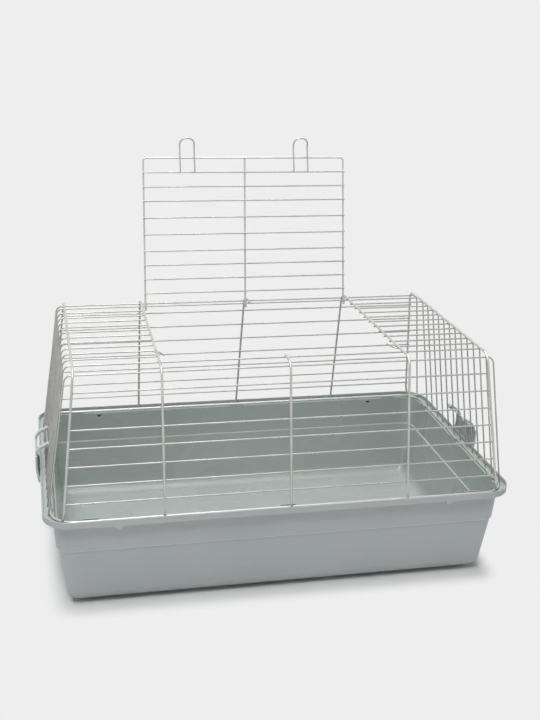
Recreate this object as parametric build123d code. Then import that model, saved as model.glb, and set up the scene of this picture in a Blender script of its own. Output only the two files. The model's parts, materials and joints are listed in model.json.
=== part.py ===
from build123d import *
from math import atan, cos, radians, sin, sqrt, tan
import os

# Small-animal cage: a moulded tray, a wire top that stands in the tray's rim channel, a wire door in the
# roof and a plastic clip on each short end. Millimetres, +Z up, X along the cage, +Y towards the back.
# The origin is on the floor under the middle of the tray. The door stands open, as photographed.

os.makedirs("parts", exist_ok=True)

# Wires
thin_wire = 2.0          # roof wires, wall wires and the door's cross wires
frame_wire = 3.0         # bent wires that stiffen the top
base_wire = 3.0          # closed loop in the rim channel
door_wire = 2.5          # door's outline and its middle wire
hook_wire = 2.0
pivot_wire = 2.0
weld_sink = 0.05         # how far crossing wires melt into each other
running_gap = 0.35       # between pieces that move past each other
rest_gap = 0.3           # between the wire top and the tray that carries it

# Tray
rim_length = 600.0
rim_width = 366.0
rim_corner = 35.0
rim_height = 132.0       # top of the rim above the floor
rim_band = 8.4           # height of the band round the rim
lip_wall = 2.0
lip_rise = 5.5           # top of the lip above the channel's floor
channel_width = 12.0
tray_wall = 2.4
step_drop = 39.2         # from the underside of the rim to the step in the walls
step_in = 1.6
upper_draft = 5.0        # degrees
lower_draft = 9.0
bottom_radius = 20.0
foot_height = 4.3
foot_inset = 6.0         # from the edge of the flat bottom to the foot ring
foot_width = 5.0
rim_round = 0.6
tab_length = 19.0
tab_rise = 3.2
tab_wall = 1.6
side_tab_inset = 57.0    # from the ends of the rim to the outer tabs of the long sides
end_tab_inset = 55.0     # from the long sides of the rim to the outer tabs of the ends
ear_inset = 90.0         # from the ends of the rim to the half-round ears under its long sides
ear_radius = 4.8
ear_wall = 1.6

# Wire top
base_end_inset = 9.8     # from the edge of the rim to the base wire's centre line, at the ends
base_side_inset = 8.4    # and along the sides
base_corner = 30.0
top_rise = 177.5         # roof wires above the base wire
end_lean_run = 22.5      # from the base wire in to the corner that the roof wires' bends round off
side_lean_run = 28.9     # the same along the sides, for the frame wires
opening_inset = 27.7     # from the frame wires' corner in to the wires along the door opening
cut_wire_count = 10      # roof wires that end at the sides of the opening
end_wire_fan = 1.05      # spread of the end wires from the roof down to the base
front_edge_foot_inset = 25.1    # from the base wire's side to the feet of the roof's front wire
back_edge_foot_inset = 14.6
edge_wire_angle = 46.0   # place of those wires on the frame wires' bend, above the horizontal
roof_bend = 9.0          # centre-line radii
frame_bend = 14.0
kink_bend = 12.0
wall_wire_count = 7
front_wire_pitch = 22.05
back_wire_pitch = 22.6
end_frame_roof_inset = 9.7      # from the roof wires' corner in to the end frame wires
end_frame_base_inset = 14.7     # from the base wire's end to their line, were it straight
end_frame_foot_inset = 13.2     # from the base wire's end to their feet
end_kink_height = 15.0   # above the base wire, where the end frame wires turn outwards
door_frame_front = 154.5
door_frame_back = 150.5
middle_front_x = 2.6
middle_back_foot_x = -0.7
middle_back_bend_x = 2.2
middle_back_end_x = 4.0
cut_overhang = 2.3       # cut ends past the centre line of the wire that they are welded to
end_overhang = 1.6

# Door
door_setback = 30.0      # free edge short of the wire at the front of the opening
door_side_gap = 4.0
door_corner = 4.5
door_open_angle = 101.2  # from closed to the photographed pose
door_left_lean = 2.3     # how far the left wire's free end stands to the right of its eye
door_middle_x = -1.5
door_middle_lean = 2.1   # the same for the middle wire
eye_tip = 7.0            # how far an eye's end runs back along the door
eye_play = 2.3           # slack of the hinge wire along an eye
first_cross = 18.0       # from the hinge wire to the first cross wire
last_cross = 20.0        # from the last cross wire to the free edge
close_pitch = 19.7       # cross wires near the hinge and near the free edge
hinge_pitch_count = 3    # close pitches near the hinge, wide ones, and close ones near the free edge
wide_pitch_count = 3
edge_pitch_count = 2
cross_overhang = 1.6
hook_offset = 81.5
hook_spacing = 20.3
hook_leg_overlap = 1.2   # legs start this far on the hinge's side of the last cross wire
hook_tip_gap = 1.5       # from the closed hook's tip to the wire in front of it
hook_kink_start = 15.0   # from the free edge to the bend where the hook dips
hook_drop = 5.5          # from that bend down to the tip
hook_bend = 4.0
hook_arch_ratio = 0.9    # of the half width that the arch at the hook's end has
eye_bend_ratio = 0.995   # of the half height that an eye's bends have

# Rest wires: three points each, past the door's free edge and into the opening
left_rest = ((-8.5, -2.0), (-7.0, 4.1), (5.0, 9.0))
right_rest = ((16.0, -2.0), (13.0, 4.1), (-3.2, 9.0))
rest_bend = 6.0

# Clips
clip_half_width = 35.0
clip_wall = 2.3
arm_offset = 26.5
arm_width = 8.0
arm_wall = 2.6
pivot_height = 38.0      # above the base wire
pivot_overhang = 1.6
pivot_weld_count = 4     # end wires that a pivot wire is welded across
shoulder_height = 25.0
shoulder_reach = 5.1     # outside of the clip past the rim
belly_height = 12.0
belly_reach = 5.4
clip_bottom = 12.0       # below the base wire
clip_bottom_reach = 2.4
catch_depth = 3.0        # how far the clip's catch reaches under the rim
catch_slope = 2.4
knuckle_wall = 1.5
snap_slot = 1.5
rib_count = 4
rib_pitch = 19.5
rib_rise = 0.8
rib_width = 2.2
rib_span_ratio = (0.4, 0.97)    # part of the plate's inner curve that the ribs follow

# Places that follow from these sizes
channel_floor = rim_height - lip_rise
rim_bottom = rim_height - rim_band
step_level = rim_bottom - step_drop
ledge_inset = lip_wall + channel_width
base_level = channel_floor + rest_gap + base_wire / 2
foot_level = base_level - base_wire / 2
roof_level = base_level + top_rise
base_half_length = rim_length / 2 - base_end_inset
base_half_width = rim_width / 2 - base_side_inset
roof_half_length = base_half_length - end_lean_run
roof_half_width = base_half_width - side_lean_run
opening_depth = 2 * (roof_half_width - opening_inset)
end_frame_roof = roof_half_length - end_frame_roof_inset
end_frame_base = base_half_length - end_frame_base_inset
end_frame_foot = base_half_length - end_frame_foot_inset
thin_to_frame = (thin_wire + frame_wire) / 2 - weld_sink
thin_to_base = (thin_wire + base_wire) / 2 - weld_sink
frame_to_base = (frame_wire + base_wire) / 2 - weld_sink
frame_roof_level = roof_level + thin_to_frame
hinge_y = opening_depth / 2
roof_pitch = opening_depth / (cut_wire_count + 1)


def bent_wire(points, diameter, bend):
    """A round wire through the points, with the given centre-line radius at its bends."""
    path = FilletPolyline(*points, radius=bend)
    section = Plane(origin=path @ 0, z_dir=path % 0) * Circle(diameter / 2)
    return sweep(section, path=path)


def straight_wire(start, end, diameter):
    run = Vector(*end) - Vector(*start)
    return extrude(Plane(origin=start, z_dir=run) * Circle(diameter / 2), amount=run.length)


def save(name, *solids):
    body = solids[0] if len(solids) == 1 else Compound(children=list(solids))
    export_step(body, f"parts/{name}.step")


# Tray: one moulding with a channel round its rim, in which the wire top stands
def slab(half_length, half_width, corner, low, high):
    outline = Pos(0, 0, low) * RectangleRounded(2 * half_length, 2 * half_width, corner)
    return extrude(outline, amount=high - low)


def tub(inset, low):
    """The tray's body down to a level, drawn in from its outer walls by an inset."""
    edge = ledge_inset - tray_wall + inset
    half_length = rim_length / 2 - edge
    half_width = rim_width / 2 - edge
    corner = rim_corner - edge
    depth = channel_floor - step_level
    top = Plane(origin=(0, 0, channel_floor), z_dir=(0, 0, -1))
    outline = top * RectangleRounded(2 * half_length, 2 * half_width, corner)
    upper = extrude(outline, amount=depth, taper=upper_draft)
    drawn_in = depth * tan(radians(upper_draft)) + step_in
    step = Plane(origin=(0, 0, step_level), z_dir=(0, 0, -1))
    size = (2 * (half_length - drawn_in), 2 * (half_width - drawn_in), corner - drawn_in)
    lower = extrude(step * RectangleRounded(*size), amount=step_level - low, taper=lower_draft)
    lower = fillet(lower.edges().group_by(Axis.Z)[0], bottom_radius - inset)
    return upper + lower


def half_round(x, side, radius, inner, outer):
    """The lower half of a bar along Y under the rim, between two distances from the middle."""
    middle = Pos(x, side * (inner + outer) / 2, rim_bottom)
    bar = middle * Rot(90, 0, 0) * Cylinder(radius, outer - inner)
    return bar & middle * Pos(0, 0, -radius) * Box(3 * radius, 2 * (outer - inner), 2 * radius)


def rim_tab(x, y, size):
    return Pos(x, y, channel_floor) * extrude(Rectangle(*size), amount=tab_rise)


def make_tray():
    half_length = rim_length / 2
    half_width = rim_width / 2
    ear_x = half_length - ear_inset
    ear_places = [(x, side) for x in (-ear_x, ear_x) for side in (-1, 1)]
    side_tab_x = half_length - side_tab_inset
    end_tab_y = half_width - end_tab_inset
    wall_face = half_width - ledge_inset
    body = tub(0, foot_height) + slab(half_length, half_width, rim_corner, rim_bottom, rim_height)
    for x, side in ear_places:
        body += half_round(x, side, ear_radius, wall_face, half_width)
    channel = (half_length - lip_wall, half_width - lip_wall, rim_corner - lip_wall)
    body -= slab(*channel, channel_floor, rim_height + lip_rise)
    body -= tub(tray_wall, foot_height + tray_wall)
    for x, side in ear_places:
        hollow = (wall_face - ear_radius - tray_wall, half_width - ear_wall)
        body -= half_round(x, side, ear_radius - ear_wall, *hollow)
    body = fillet(body.edges().group_by(Axis.Z)[-1], rim_round)
    for side in (-1, 1):
        for x in (-side_tab_x, 0, side_tab_x):
            body += rim_tab(x, side * (wall_face + tab_wall / 2), (tab_length, tab_wall))
        for y in (-end_tab_y, 0, end_tab_y):
            end_face = half_length - ledge_inset
            body += rim_tab(side * (end_face + tab_wall / 2), y, (tab_wall, tab_length))
    upper_run = (channel_floor - step_level) * tan(radians(upper_draft))
    lower_run = (step_level - foot_height) * tan(radians(lower_draft))
    flat = ledge_inset - tray_wall + upper_run + step_in + lower_run + bottom_radius + foot_inset
    ring = (half_length - flat, half_width - flat, bottom_radius)
    inner = (ring[0] - foot_width, ring[1] - foot_width, bottom_radius - foot_width)
    return body + slab(*ring, 0, foot_height) - slab(*inner, 0, foot_height)


save("tray", make_tray())


# Base wire: a closed loop that lies in the rim channel
def loop_reach(along, half_length, half_width, corner):
    """Half width of a rounded rectangle at a place along its length."""
    past = abs(along) - (half_length - corner)
    if past <= 0:
        return half_width
    return half_width - corner + sqrt(corner ** 2 - past ** 2)


def make_base_wire():
    outline = RectangleRounded(2 * base_half_length, 2 * base_half_width, base_corner)
    path = (Pos(0, 0, base_level) * outline).wire()
    section = Plane(origin=path @ 0, z_dir=path % 0) * Circle(base_wire / 2)
    return sweep(section, path=path)


save("base_wire", make_base_wire())


# Frame wires: thick wires outside the thin ones, from the base wire over the roof and down again
wall_lean = atan((base_half_width + frame_to_base - roof_half_width) / (frame_roof_level - base_level))


def frame_leg_y(level):
    """Half depth between the frame wires' legs at a level."""
    return roof_half_width + (frame_roof_level - level) * tan(wall_lean)


def end_frame(side):
    """A frame wire near a corner of the cage: its feet turn outwards to stay outside the base wire."""
    outside = (base_half_length + frame_to_base, base_half_width + frame_to_base, base_corner + frame_to_base)
    kink_level = base_level + end_kink_height
    kink_x = end_frame_base + (end_frame_roof - end_frame_base) * end_kink_height / top_rise
    front_half = [
        (side * end_frame_foot, -loop_reach(end_frame_foot, *outside), foot_level),
        (side * kink_x, -frame_leg_y(kink_level), kink_level),
        (side * end_frame_roof, -roof_half_width, frame_roof_level),
    ]
    back_half = [(x, -y, z) for x, y, z in reversed(front_half)]
    bends = [kink_bend, frame_bend, frame_bend, kink_bend]
    return bent_wire(front_half + back_half, frame_wire, bends)


def door_frame(side):
    foot_y = frame_leg_y(foot_level)
    points = [
        (side * door_frame_front, -foot_y, foot_level),
        (side * door_frame_front, -roof_half_width, frame_roof_level),
        (side * door_frame_back, roof_half_width, frame_roof_level),
        (side * door_frame_back, foot_y, foot_level),
    ]
    return bent_wire(points, frame_wire, frame_bend)


def middle_frame(side, foot_x, bend_x, end_x):
    """One of the two short frame wires, from the base wire to the wire that bounds the opening."""
    points = [
        (foot_x, side * frame_leg_y(foot_level), foot_level),
        (bend_x, side * roof_half_width, frame_roof_level),
        (end_x, side * (hinge_y - end_overhang), frame_roof_level),
    ]
    return bent_wire(points, frame_wire, frame_bend)


for name, side in (("left", -1), ("right", 1)):
    save(f"frame_wire_{name}_end", end_frame(side))
    save(f"frame_wire_{name}_of_door", door_frame(side))
save("frame_wire_middle_front", middle_frame(-1, middle_front_x, middle_front_x, middle_front_x))
save("frame_wire_middle_back", middle_frame(1, middle_back_foot_x, middle_back_bend_x, middle_back_end_x))


# Roof wires: each comes up one end of the cage, runs along the roof and goes down the other end
def upright_foot_x(y):
    """Half length of the cage at the foot of an end wire, which stands outside the base wire."""
    outside = (base_half_width + thin_to_base, base_half_length + thin_to_base, base_corner + thin_to_base)
    return loop_reach(y, *outside)


def full_roof_wire(y, level, foot_y):
    foot_x = upright_foot_x(foot_y)
    left_half = [(-foot_x, foot_y, foot_level), (-roof_half_length, y, level)]
    right_half = [(-point[0], point[1], point[2]) for point in reversed(left_half)]
    return bent_wire(left_half + right_half, thin_wire, roof_bend)


def opening_edge_x(y):
    """Half width between the frame wires beside the door opening."""
    share = (y + roof_half_width) / (2 * roof_half_width)
    return door_frame_front + (door_frame_back - door_frame_front) * share


def cut_roof_wire(side, y):
    foot_y = y * end_wire_fan
    points = [
        (side * upright_foot_x(foot_y), foot_y, foot_level),
        (side * roof_half_length, y, roof_level),
        (side * (opening_edge_x(y) - cut_overhang), y, roof_level),
    ]
    return bent_wire(points, thin_wire, roof_bend)


# The roof's front and back wires lie inside the frame wires' bend
frame_turn = radians(90) - wall_lean
bend_middle_y = roof_half_width - frame_bend * tan(frame_turn / 2)
edge_radius = frame_bend - thin_to_frame
edge_y = bend_middle_y + edge_radius * cos(radians(edge_wire_angle))
edge_level = frame_roof_level - frame_bend + edge_radius * sin(radians(edge_wire_angle))

save("roof_wire_back_edge", full_roof_wire(edge_y, edge_level, base_half_width - back_edge_foot_inset))
save("roof_wire_hinge", full_roof_wire(hinge_y, roof_level, hinge_y * end_wire_fan))
save("roof_wire_opening_front", full_roof_wire(-hinge_y, roof_level, -hinge_y * end_wire_fan))
save("roof_wire_front_edge", full_roof_wire(-edge_y, edge_level, front_edge_foot_inset - base_half_width))

for row in range(1, cut_wire_count + 1):
    for name, side in (("left", -1), ("right", 1)):
        save(f"roof_wire_{name}_{row}", cut_roof_wire(side, hinge_y - roof_pitch * row))


# Wall wires: straight thin wires across the front and back, inside the frame wires
def wall_wire(side, level):
    y = side * (frame_leg_y(level) - thin_to_frame / cos(wall_lean))
    share = (level - base_level) / top_rise
    reach = end_frame_base + (end_frame_roof - end_frame_base) * share + end_overhang
    return straight_wire((-reach, y, level), (reach, y, level), thin_wire)


for row in range(1, wall_wire_count + 1):
    save(f"front_wall_wire_{row}", wall_wire(-1, base_level + front_wire_pitch * row))
    save(f"back_wall_wire_{row}", wall_wire(1, base_level + back_wire_pitch * row))


# Rest wires: a short bent wire at each side of the opening, under the closed door's free corners
door_length = opening_depth - door_setback


def rest_wire(side, places):
    points = []
    for past_door, into_opening in places:
        y = hinge_y - door_length - past_door
        points.append((side * (opening_edge_x(y) - into_opening), y, roof_level))
    return bent_wire(points, thin_wire, rest_bend)


save("door_rest_left", rest_wire(-1, left_rest))
save("door_rest_right", rest_wire(1, right_rest))


# Door: drawn closed, with the hinge wire at the origin and its free edge towards -Y, then swung open.
# Its long wires lie above the hinge wire and its cross wires under them.
door_half_width = min(door_frame_front, door_frame_back) - frame_wire / 2 - door_side_gap
door_level = (thin_wire + door_wire) / 2 + running_gap
cross_level = door_level - (thin_wire + door_wire) / 2 + weld_sink
eye_back = eye_play + door_level
eye_bend = door_level * eye_bend_ratio


def swung_open(solid):
    return Pos(0, hinge_y, roof_level) * Rot(-door_open_angle, 0, 0) * solid


def eye_points(x):
    """The narrow eye round the hinge wire, from its end under the door to its turn at the back."""
    return [(x, -eye_tip, -door_level), (x, eye_back, -door_level), (x, eye_back, door_level)]


def door_outline():
    left = eye_points(-door_half_width)
    left.append((door_left_lean - door_half_width, -door_length, door_level))
    right = eye_points(door_half_width) + [(door_half_width, -door_length, door_level)]
    bends = [eye_bend, eye_bend, door_corner, door_corner, eye_bend, eye_bend]
    return bent_wire(left + right[::-1], door_wire, bends)


def door_middle():
    end_y = -door_length + door_wire / 2 - weld_sink
    points = eye_points(door_middle_x) + [(door_middle_x + door_middle_lean, end_y, door_level)]
    return bent_wire(points, door_wire, eye_bend)


def cross_seats():
    """Places of the cross wires, from the hinge wire: the middle rows share what the others leave."""
    close_pitches = hinge_pitch_count + edge_pitch_count
    left_over = door_length - first_cross - last_cross - close_pitches * close_pitch
    pitches = [close_pitch] * hinge_pitch_count + [left_over / wide_pitch_count] * wide_pitch_count
    seats = [first_cross]
    for pitch in pitches + [close_pitch] * edge_pitch_count:
        seats.append(seats[-1] + pitch)
    return seats


def cross_wire(seat):
    reach = door_half_width + cross_overhang
    left_x = door_left_lean * seat / door_length - reach
    return straight_wire((left_x, -seat, cross_level), (reach, -seat, cross_level), thin_wire)


# Hooks: U-shaped spring wires, welded under the last cross wire and under the free edge
def hook(middle):
    seat = cross_seats()[-1]
    low = cross_level - (thin_wire + hook_wire) / 2 + weld_sink
    high = door_level - (door_wire + hook_wire) / 2 + weld_sink
    rise = (high - low) / (door_length - seat)
    kink = door_length + hook_kink_start
    tip = opening_depth - thin_wire / 2 - hook_tip_gap - hook_wire / 2
    kink_level = low + rise * (kink - seat)
    leg = [
        (seat - hook_leg_overlap, low - rise * hook_leg_overlap),
        (kink, kink_level),
        (tip, kink_level - hook_drop),
    ]
    left = [(middle - hook_spacing / 2, -row, level) for row, level in leg]
    right = [(middle + hook_spacing / 2, -row, level) for row, level in reversed(leg)]
    arch = hook_spacing / 2 * hook_arch_ratio
    bends = [hook_bend, arch, arch, hook_bend]
    return bent_wire(left + right, hook_wire, bends)


save("door_outline_wire", swung_open(door_outline()))
save("door_middle_wire", swung_open(door_middle()))
save("door_cross_wires", *[swung_open(cross_wire(seat)) for seat in cross_seats()])
save("door_hook_left", swung_open(hook(-hook_offset)))
save("door_hook_right", swung_open(hook(hook_offset)))


# Clips: each turns on a short wire that is welded across the end wires, and catches under the rim
end_lean = atan((base_half_length + thin_to_base - roof_half_length) / top_rise)
pivot_level = base_level + pivot_height
pivot_x = roof_half_length + (top_rise - pivot_height) * tan(end_lean)
pivot_x += ((thin_wire + pivot_wire) / 2 - weld_sink) / cos(end_lean)
pivot_place = (pivot_x - rim_length / 2, pivot_height)
bore_radius = pivot_wire / 2 + running_gap


def clip_inside():
    """Side view of the plate's inner face, in X and Z from the rim's edge and the base wire."""
    catch_root = (running_gap, rim_bottom - base_level - running_gap)
    belly = (belly_reach - clip_wall, belly_height)
    return ThreePointArc(catch_root, belly, (shoulder_reach - clip_wall, shoulder_height))


def clip_plate():
    inside = clip_inside()
    outside = ThreePointArc(
        (shoulder_reach, shoulder_height),
        (belly_reach, belly_height),
        (clip_bottom_reach, -clip_bottom),
    )
    catch_tip = (-catch_depth, (inside @ 0).Y - catch_slope)
    catch = Polyline(outside @ 1, (-catch_depth, -clip_bottom), catch_tip, inside @ 0)
    return make_face(Curve() + [outside, catch, inside, Line(inside @ 1, outside @ 0)])


def clip_arm():
    """Side view of an arm, from the top of the plate to the knuckle on the pivot wire."""
    root = (shoulder_reach - clip_wall / 2, shoulder_height - clip_wall / 2)
    crown = ((pivot_place[0] + root[0]) / 2 + arm_wall, (pivot_place[1] + root[1]) / 2 + arm_wall)
    arm = trace(ThreePointArc(root, crown, pivot_place), line_width=arm_wall)
    arm += Pos(*pivot_place) * Circle(bore_radius + knuckle_wall)
    arm -= Pos(*pivot_place) * Circle(bore_radius)
    slot_middle = Pos(pivot_place[0] - bore_radius - knuckle_wall, pivot_place[1])
    return arm - slot_middle * Rectangle(2 * bore_radius + knuckle_wall, snap_slot)


def make_clip():
    """The clip of the right-hand end. Ribs stiffen its plate on the inside, above the rim."""
    side_view = Plane(origin=(rim_length / 2, 0, base_level), x_dir=(1, 0, 0), z_dir=(0, -1, 0))
    clip = extrude(side_view * clip_plate(), amount=clip_half_width, both=True)
    arm = extrude(side_view * clip_arm(), amount=arm_width / 2, both=True)
    for side in (-1, 1):
        clip += Pos(0, side * arm_offset, 0) * arm
    rib_line = clip_inside().trim(*rib_span_ratio)
    rib = extrude(side_view * trace(rib_line, line_width=2 * rib_rise), amount=rib_width / 2, both=True)
    for number in range(rib_count):
        clip += Pos(0, (number - (rib_count - 1) / 2) * rib_pitch, 0) * rib
    return clip


def pivot_half_length():
    """Half length of the pivot wire, which spans the middle end wires."""
    fan = 1 + (end_wire_fan - 1) * (top_rise - pivot_height) / top_rise
    return (pivot_weld_count - 1) / 2 * roof_pitch * fan + pivot_overhang


clip = make_clip()
save("clip_right", clip)
save("clip_left", Rot(0, 0, 180) * clip)
for name, side in (("left", -1), ("right", 1)):
    half = pivot_half_length()
    ends = [(side * pivot_x, y, pivot_level) for y in (-half, half)]
    save(f"clip_pivot_wire_{name}", straight_wire(*ends, pivot_wire))
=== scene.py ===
import json
import math

import bmesh
import bpy
from mathutils import Matrix, Vector


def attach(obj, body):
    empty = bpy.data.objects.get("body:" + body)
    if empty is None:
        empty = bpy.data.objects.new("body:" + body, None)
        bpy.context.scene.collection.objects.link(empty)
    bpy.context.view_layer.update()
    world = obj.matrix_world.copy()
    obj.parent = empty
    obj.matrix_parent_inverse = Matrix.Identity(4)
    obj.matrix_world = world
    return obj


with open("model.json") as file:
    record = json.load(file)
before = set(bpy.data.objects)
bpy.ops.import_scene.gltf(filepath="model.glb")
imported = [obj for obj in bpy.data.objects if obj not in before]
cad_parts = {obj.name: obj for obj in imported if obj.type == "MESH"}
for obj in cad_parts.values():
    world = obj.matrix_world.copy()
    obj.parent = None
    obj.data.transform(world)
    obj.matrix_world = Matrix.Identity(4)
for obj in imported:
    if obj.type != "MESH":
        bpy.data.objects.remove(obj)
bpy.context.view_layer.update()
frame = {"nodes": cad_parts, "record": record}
scene = bpy.context.scene
scene.view_settings.view_transform = "Standard"


# Moulded tray. The real one is grey-green polypropylene from one mould: a fine spark-eroded grain,
# faint flow clouds in the colour and light scuffs where bedding scrapers and hands have rubbed it.
# Two marks are painted light: a pale line along the step in its walls is a painted highlight where
# the ledge catches the overhead light, and its outward faces take a less green tint than the
# inside, which paints the greener bounce light inside the tub.
class Value:
    """A shader socket on which plain arithmetic adds Math nodes."""

    def __init__(self, shader, socket):
        self.shader = shader
        self.socket = socket

    def math(self, operation, first, second):
        return self.shader.add("ShaderNodeMath", {"operation": operation}, [first, second])

    def __add__(self, other):
        return self.math("ADD", self, other)

    def __radd__(self, other):
        return self.math("ADD", other, self)

    def __sub__(self, other):
        return self.math("SUBTRACT", self, other)

    def __rsub__(self, other):
        return self.math("SUBTRACT", other, self)

    def __mul__(self, other):
        return self.math("MULTIPLY", self, other)

    def __rmul__(self, other):
        return self.math("MULTIPLY", other, self)


class Shader:
    """The nodes of a material or of the world, all added by one method."""

    def __init__(self, owner):
        self.owner = owner
        owner.use_nodes = True
        self.tree = owner.node_tree
        self.tree.nodes.clear()

    def add(self, kind, settings=None, sockets=None, output=0):
        node = self.tree.nodes.new(kind)
        for key, setting in (settings or {}).items():
            setattr(node, key, setting)
        entries = enumerate(sockets) if isinstance(sockets, list) else (sockets or {}).items()
        for key, value in entries:
            if isinstance(value, Value):
                self.tree.links.new(value.socket, node.inputs[key])
            else:
                node.inputs[key].default_value = value
        return Value(self, node.outputs[output]) if node.outputs else None

    def place(self):
        return self.add("ShaderNodeTexCoord", output="Object")

    def vector_math(self, operation, vectors, output=0):
        return self.add("ShaderNodeVectorMath", {"operation": operation}, vectors, output)

    def noise(self, where, scale, detail, stretch=None):
        if stretch:
            where = self.add("ShaderNodeMapping", None, {"Vector": where, "Scale": stretch})
        sockets = {"Vector": where, "Scale": scale, "Detail": detail}
        return self.add("ShaderNodeTexNoise", {"noise_dimensions": "3D"}, sockets)

    def between(self, value, low, high):
        """0 below the low value, 1 above the high one and smooth between them."""
        sockets = {"Value": value, "From Min": low, "From Max": high}
        return self.add("ShaderNodeMapRange", {"interpolation_type": "SMOOTHSTEP"}, sockets)

    def blend(self, share, first, second):
        colors = [color if isinstance(color, Value) else (*color, 1) for color in (first, second)]
        sockets = {0: share, 6: colors[0], 7: colors[1]}
        return self.add("ShaderNodeMix", {"data_type": "RGBA"}, sockets, output=2)

    def bump(self, strength, distance, height):
        sockets = {"Strength": strength, "Distance": distance, "Height": height}
        return self.add("ShaderNodeBump", None, sockets)

    def finish(self, sockets):
        surface = self.add("ShaderNodeBsdfPrincipled", None, sockets)
        self.add("ShaderNodeOutputMaterial", None, {"Surface": surface})
        return self.owner


# Height of the step in the tray's walls, and the width of the pale line painted along it as a
# highlight, where the ledge's top catches the overhead light.
step_level = 0.0844
step_highlight_core = 0.0005
step_highlight_reach = 0.0012


def moulded_plastic(name, pale, deep, inside_gloss, outside_gloss, scuffs):
    """Both faces of a moulding: the core side is polished, the cavity side has a fine spark-eroded
    grain and takes a less green tint, which paints the greener bounce light on the core side.
    """
    cloud_scale, rub_scale, grain_scale, ripple_scale = 7.0, 240.0, 1500.0, 28.0
    rub_stretch = (0.12, 1.0, 1.0)
    outward_weights = (4.0, 7.0, 0.0)
    # A less green tint for the outward faces: painted light, it makes the inside look greener, as
    # bounce light inside the tub would.
    painted_bounce_tint = (1.03, 1.0, 1.03)
    # The first value pales the real scuffs; the second and third set the pale line painted along
    # the step as a highlight.
    scuff_paling, step_highlight_paling, step_highlight_strength = 1.16, 1.4, 0.7
    inside_grain = 0.35

    shader = Shader(bpy.data.materials.new(name))
    where = shader.place()
    clouds = shader.between(shader.noise(where, cloud_scale, 1.0), 0.30, 0.70)
    rubbed = shader.noise(where, rub_scale, 3.0, rub_stretch)
    worn = shader.between(rubbed, 0.62, 0.76) * scuffs
    facing = shader.add("ShaderNodeTexCoord", output="Normal")
    flat_place = shader.vector_math("MULTIPLY", [where, outward_weights])
    outward = shader.vector_math("DOT_PRODUCT", [facing, flat_place], "Value")
    # The outward faces: their finer grain and higher roughness are real, their tint below is
    # painted bounce light.
    outward_grain_and_painted_tint = shader.between(outward, 0.05, 0.35)
    polished = shader.blend(clouds, deep, pale)
    # Painted bounce light: the outward faces take a less green tint than the inside.
    bounce_tinted_outside = shader.vector_math("MULTIPLY", [polished, painted_bounce_tint])
    color = shader.blend(outward_grain_and_painted_tint, polished, bounce_tinted_outside)
    color = shader.blend(worn, color, tuple(scuff_paling * part for part in pale))
    height = shader.add("ShaderNodeSeparateXYZ", None, [where], output="Z")
    # Painted highlight: a pale line along the step in the walls, where the ledge's top face catches
    # the overhead light.
    off_step = shader.add("ShaderNodeMath", {"operation": "ABSOLUTE"}, [height - step_level])
    step_highlight_mask = (1 - shader.between(off_step, step_highlight_core, step_highlight_reach)) * step_highlight_strength
    color = shader.blend(step_highlight_mask, color, tuple(step_highlight_paling * part for part in pale))
    grain = shader.noise(where, grain_scale, 1.0) * (inside_grain + (1 - inside_grain) * outward_grain_and_painted_tint)
    ripple = shader.noise(where, ripple_scale, 1.0)
    rough = inside_gloss + (outside_gloss - inside_gloss) * outward_grain_and_painted_tint + clouds * 0.02 + worn * 0.12
    return shader.finish({
        "Base Color": color,
        "Roughness": rough,
        "Normal": shader.bump(0.14, 0.0004, grain + ripple * 0.6),
        "IOR": 1.49,
    })


tray_pale = (0.390, 0.431, 0.418)
tray_deep = (0.372, 0.412, 0.400)
tray_plastic = moulded_plastic("tray plastic", tray_pale, tray_deep, 0.26, 0.42, 0.14)
frame["nodes"]["tray"].material_slots[0].material = tray_plastic


# Wire top. Drawn steel wire, bent and spot-welded, then zinc plated as one piece, which leaves it
# cloudy and specked. The thick frame wires are given a lighter colour than the thin ones.
def plated_wire(name, bright, dull, roughness):
    cloud_scale, speck_scale, drawing_scale = 34.0, 420.0, 900.0
    speck_depth, speck_darkening = 0.35, 0.72

    shader = Shader(bpy.data.materials.new(name))
    where = shader.place()
    cloudy = shader.between(shader.noise(where, cloud_scale, 3.0), 0.30, 0.72)
    speck = shader.between(shader.noise(where, speck_scale, 2.0), 0.60, 0.78)
    color = shader.blend(cloudy, dull, bright)
    speck_color = tuple(speck_darkening * part for part in dull)
    color = shader.blend(speck * speck_depth, color, speck_color)
    drawn = shader.noise(where, drawing_scale, 1.0)
    rough = roughness - cloudy * 0.08 + speck * 0.10
    return shader.finish({
        "Base Color": color,
        "Metallic": 0.55,
        "Roughness": rough,
        "Normal": shader.bump(0.04, 0.0002, drawn),
    })


thick_wire = plated_wire("plated thick wire", (0.61, 0.615, 0.595), (0.51, 0.515, 0.495), 0.36)
thin_wire = plated_wire("plated thin wire", (0.48, 0.485, 0.47), (0.39, 0.395, 0.38), 0.34)
thick_names = ("frame_wire", "base_wire", "door_outline_wire", "door_middle_wire")
bodies = frame["record"]["behaviour"]["bodies"]
for node in bodies["wire_top"] + bodies["door"]:
    finish = thick_wire if node.startswith(thick_names) else thin_wire
    frame["nodes"][node].material_slots[0].material = finish


# Welds of the wire top. At each crossing the wires are pressed together and melt a little, and the
# metal that is squeezed out sets as a small flat bead, dulled and browned by the heat.
bead_radius = 0.00135
bead_height = 0.00055
heavy_swell = 1.15
half_thin = 0.001
half_frame = 0.0015


def bead(mesh, place, normal, swell=1.0):
    turn = Vector(normal).to_track_quat("Z", "Y").to_matrix().to_4x4()
    flat = Matrix.Diagonal((bead_radius * swell, bead_radius * swell, bead_height * swell, 1.0))
    bmesh.ops.create_icosphere(
        mesh, subdivisions=2, radius=1.0, matrix=Matrix.Translation(place) @ turn @ flat
    )


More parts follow.
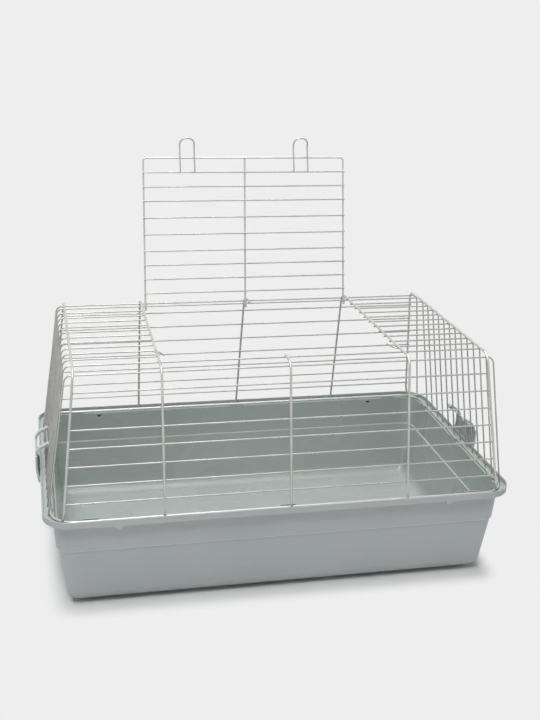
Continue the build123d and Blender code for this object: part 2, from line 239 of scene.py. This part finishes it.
# On the roof: the lengthwise wires over the end frames and the frames beside the door.
roof_level = 0.3058
roof_half_width = 0.1457
opening_half = 0.118
row_count = 12
end_frame_top = 0.258
door_frame_front = 0.1545
door_frame_back = 0.1505
middle_frame_front = 0.0026
middle_frame_back = 0.0038


def opening_edge(y):
    share = (y + roof_half_width) / (2 * roof_half_width)
    return door_frame_front + (door_frame_back - door_frame_front) * share


top_welds = bmesh.new()
rows = [opening_half - 2 * opening_half * row / (row_count - 1) for row in range(row_count)]
for y in rows:
    for x in (-end_frame_top, end_frame_top, -opening_edge(y), opening_edge(y)):
        bead(top_welds, (x, y, roof_level + half_thin), (0, 0, 1))
for x, y in ((middle_frame_front, -opening_half), (middle_frame_back, opening_half)):
    bead(top_welds, (x, y, roof_level + half_thin), (0, 0, 1))

# On the front and back: the roof's edge wires, the wall wires and the frames' feet. The middle
# frame wire is a little off the centre, at its foot and at its top.
base_level = 0.1283
base_half = Vector((0.2902, 0.1746))
wall_lean = 0.17520
wall_top_level = 0.30825
wall_wire_count = 7
end_frame_foot = 0.2755
edge_place = Vector((0.14198, 0.30256))
edge_angle = math.radians(46.0)
edge_facing = Vector((math.cos(edge_angle), math.sin(edge_angle)))
wall_facing = Vector((math.cos(wall_lean), math.sin(wall_lean)))
end_foot_place = (0.27626, 0.17169)
end_foot_facing = (0.51, 0.86)
walls = {
    -1: {"pitch": 0.02205, "door_x": door_frame_front, "foot": 0.0026, "top": 0.0026},
    1: {"pitch": 0.0226, "door_x": door_frame_back, "foot": -0.0007, "top": 0.0022},
}
for side, wall in walls.items():
    door_x = wall["door_x"]
    edge_y = side * (edge_place.x + half_thin * edge_facing.x)
    edge_z = edge_place.y + half_thin * edge_facing.y
    for x in (-end_frame_top, end_frame_top, -door_x, door_x, wall["top"]):
        bead(top_welds, (x, edge_y, edge_z), (0, side * edge_facing.x, edge_facing.y))
    for row in range(1, wall_wire_count + 1):
        z = base_level + wall["pitch"] * row
        share = (z - base_level) / (roof_level - base_level)
        outer_y = roof_half_width + (wall_top_level - z) * math.tan(wall_lean)
        y = side * (outer_y - half_frame / math.cos(wall_lean))
        end_x = end_frame_foot - (end_frame_foot - end_frame_top) * share
        middle_x = wall["foot"] + (wall["top"] - wall["foot"]) * share
        for x in (-end_x, end_x, -door_x, door_x, middle_x):
            bead(top_welds, (x, y, z), (0, side * wall_facing.x, wall_facing.y))
    foot_y = side * (base_half.y + half_frame)
    for x in (-door_x, door_x, wall["foot"]):
        bead(top_welds, (x, foot_y, base_level), (0, side, 0), heavy_swell)
    for end in (-1, 1):
        place = (end * end_foot_place[0], side * end_foot_place[1], base_level)
        facing = (end * end_foot_facing[0], side * end_foot_facing[1], 0)
        bead(top_welds, place, facing, heavy_swell)

# On the ends: the feet of the lengthwise wires and of the two edge wires, and the clips' pivots,
# which are welded across the four middle wires.
base_corner = 0.030
foot_spread = 1.05
edge_wire_feet = [-0.1495, 0.160]
pivot_rows = slice(4, 8)
pivot_spread = 1.039
pivot_place = 0.28828
pivot_level = 0.1665
end_slope = 0.12


def outside_base(y):
    """Where a wire touches the base wire's outer side near an end, and which way it faces."""
    past = abs(y) - (base_half.y - base_corner)
    if past <= 0:
        return base_half.x + half_frame, abs(y), (1.0, 0.0)
    angle = math.asin(past / (base_corner + half_frame + half_thin))
    facing = (math.cos(angle), math.sin(angle))
    reach = base_corner + half_frame
    corner = base_half - Vector((base_corner, base_corner))
    return corner.x + reach * facing[0], corner.y + reach * facing[1], facing


for foot_y in [y * foot_spread for y in rows] + edge_wire_feet:
    x, y, facing = outside_base(foot_y)
    for end in (-1, 1):
        place = (end * x, math.copysign(y, foot_y), base_level)
        bead(top_welds, place, (end * facing[0], math.copysign(facing[1], foot_y), 0))
for y in rows[pivot_rows]:
    for end in (-1, 1):
        place = (end * pivot_place, y * pivot_spread, pivot_level)
        bead(top_welds, place, (end, 0, end_slope))


def weld_piece(name, mesh, body):
    data = bpy.data.meshes.new(name)
    bmesh.ops.recalc_face_normals(mesh, faces=mesh.faces)
    mesh.to_mesh(data)
    mesh.free()
    data.shade_smooth()
    piece = bpy.data.objects.new(name, data)
    scene.collection.objects.link(piece)
    data.materials.append(browned_steel)
    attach(piece, body)


weld_shader = Shader(bpy.data.materials.new("heat-browned weld"))
weld_noise = weld_shader.noise(weld_shader.place(), 700.0, 3.0)
scale = weld_shader.between(weld_noise, 0.38, 0.66)
browned_steel = weld_shader.finish({
    "Base Color": weld_shader.blend(scale, (0.30, 0.29, 0.27), (0.44, 0.43, 0.41)),
    "Metallic": 0.75,
    "Roughness": 0.40 + scale * 0.18,
    "Normal": weld_shader.bump(0.3, 0.0002, scale),
})
weld_piece("wire_top_welds", top_welds, "wire_top")


# Welds of the door. The same beads, where its cross wires and hooks meet its outline and middle
# wire. They are set out with the door closed and swung up with it.
door_open_angle = math.radians(-101.2)
door_half = 0.145
door_length = 0.206
left_lean = 0.0023
middle_lean = 0.0021
middle_place = 0.0015
middle_end_place = 0.0006
middle_end_inset = 0.00125
middle_end_level = 0.0026
cross_weld_level = 0.0014
hook_cross_level = -0.0006
hook_edge_level = 0.00135
hook_places = (-0.0815, 0.0815)
hook_half_width = 0.01015
seats = (0.018, 0.0377, 0.0574, 0.0771, 0.10027, 0.12343, 0.1466, 0.1663, 0.186)

door_welds = bmesh.new()
for seat in seats:
    share = seat / door_length
    for x in (left_lean * share - door_half, middle_lean * share - middle_place, door_half):
        bead(door_welds, (x, -seat, cross_weld_level), (0, 0, 1))
for hook in hook_places:
    for leg in (-hook_half_width, hook_half_width):
        bead(door_welds, (hook + leg, -seats[-1], hook_cross_level), (0, 0, 1))
        bead(door_welds, (hook + leg, -door_length, hook_edge_level), (0, 0, 1))
middle_end = (middle_end_place, -door_length + middle_end_inset, middle_end_level)
bead(door_welds, middle_end, (0, 1, 0))
hinge = Matrix.Translation((0, opening_half, roof_level))
swung = hinge @ Matrix.Rotation(door_open_angle, 4, "X")
bmesh.ops.transform(door_welds, matrix=swung, verts=door_welds.verts)
weld_piece("door_welds", door_welds, "door")


# Clips. Small injection mouldings in a slightly lighter grey than the tray, snapped on to their
# pivot wires, and more scuffed than the tray because they are pushed over its rim each time.
clip_pale = (0.465, 0.498, 0.482)
clip_deep = (0.435, 0.466, 0.452)
clip_plastic = moulded_plastic("clip plastic", clip_pale, clip_deep, 0.28, 0.28, 0.5)
for node in ("clip_left", "clip_right"):
    frame["nodes"][node].material_slots[0].material = clip_plastic


# Floor. A seamless pale studio sheet that keeps the cage's soft shadow near it and turns into the
# plain backdrop further out.
backdrop_level = 0.855
floor_radius = 9.0
sheet_level = 0.88
foot_half_length = 0.262
foot_half_width = 0.150
shadow_core = 0.012
shadow_reach = 0.042

floor_mesh = bmesh.new()
bmesh.ops.create_circle(floor_mesh, cap_ends=True, segments=96, radius=floor_radius)
floor_data = bpy.data.meshes.new("studio floor")
floor_mesh.to_mesh(floor_data)
floor_mesh.free()
floor = bpy.data.objects.new("studio_floor", floor_data)
scene.collection.objects.link(floor)


def plain_rays(shader):
    """1 for the rays that show the plain backdrop: seen, mirrored and through something clear."""
    seen = shader.add("ShaderNodeLightPath", output="Is Camera Ray")
    mirrored = shader.add("ShaderNodeLightPath", output="Is Glossy Ray")
    through = shader.add("ShaderNodeLightPath", output="Is Transmission Ray")
    plain = shader.add("ShaderNodeMath", {"operation": "MAXIMUM"}, [seen, mirrored])
    return shader.add("ShaderNodeMath", {"operation": "MAXIMUM"}, [plain, through])


floor_shader = Shader(bpy.data.materials.new("studio floor"))
one_side = floor_shader.vector_math("ABSOLUTE", [floor_shader.place()])
foot = (foot_half_length, foot_half_width, 0)
past_foot = floor_shader.vector_math("SUBTRACT", [one_side, foot])
past_foot = floor_shader.vector_math("MAXIMUM", [past_foot, (0, 0, 0)])
distance = floor_shader.vector_math("LENGTH", [past_foot], "Value")
far = floor_shader.between(distance, shadow_core, shadow_reach)
sheet_color = (sheet_level, sheet_level, sheet_level, 1)
backdrop_color = (backdrop_level, backdrop_level, backdrop_level, 1)
sheet = floor_shader.add("ShaderNodeBsdfDiffuse", None, {"Color": sheet_color})
glow = floor_shader.add("ShaderNodeEmission", None, {"Color": backdrop_color})
backdrop_share = far * plain_rays(floor_shader)
mixed = floor_shader.add("ShaderNodeMixShader", None, {0: backdrop_share, 1: sheet, 2: glow})
floor_shader.add("ShaderNodeOutputMaterial", None, {"Surface": mixed})
floor_data.materials.append(floor_shader.owner)


# Light. A bright even studio: a large overhead sheet of light, a softer one from the left front,
# and a weak one from the right, with a pale surround.
surround_level = 0.20
surround = Shader(bpy.data.worlds.new("studio surround"))
scene.world = surround.owner
level = surround_level + (backdrop_level - surround_level) * plain_rays(surround)
light = surround.add("ShaderNodeBackground", None, {"Color": (1, 1, 1, 1), "Strength": level})
surround.add("ShaderNodeOutputWorld", None, {"Surface": light})


def studio_lamp(name, place, target, width, height, power):
    lamp = bpy.data.lights.new(name, "AREA")
    lamp.shape = "RECTANGLE"
    lamp.size = width
    lamp.size_y = height
    lamp.energy = power
    holder = bpy.data.objects.new(name, lamp)
    aim = (Vector(target) - Vector(place)).to_track_quat("-Z", "Y")
    holder.matrix_world = Matrix.Translation(place) @ aim.to_matrix().to_4x4()
    scene.collection.objects.link(holder)


middle = (0.0, 0.0, 0.2)
studio_lamp("overhead lamp", (-0.2, 0.1, 2.6), middle, 2.4, 1.8, 62.0)
studio_lamp("front lamp", (-0.7, -1.6, 2.4), middle, 1.0, 0.6, 27.0)
studio_lamp("right lamp", (2.2, -0.9, 1.3), middle, 1.2, 1.2, 2.0)


# Camera. Set where the photograph was taken from, a little left of the front and above the roof,
# with the place and the axes that were fitted to the cage's straight edges.
camera_place = (-0.29783, -1.32950, 0.74015)
camera_right = (0.97617691, -0.21465761, 0.03163461)
camera_up = (0.04215669, 0.33065584, 0.94280938)
camera_forward = (0.21284138, 0.91901514, -0.33182785)

camera_data = bpy.data.cameras.new("camera")
camera_data.sensor_fit = "HORIZONTAL"
camera_data.sensor_width = 36.0
camera_data.lens = 71.24
camera = bpy.data.objects.new("camera", camera_data)
camera_back = tuple(-part for part in camera_forward)
turned = Matrix((camera_right, camera_up, camera_back)).transposed()
camera.matrix_world = Matrix.Translation(camera_place) @ turned.to_4x4()
scene.collection.objects.link(camera)
scene.camera = camera
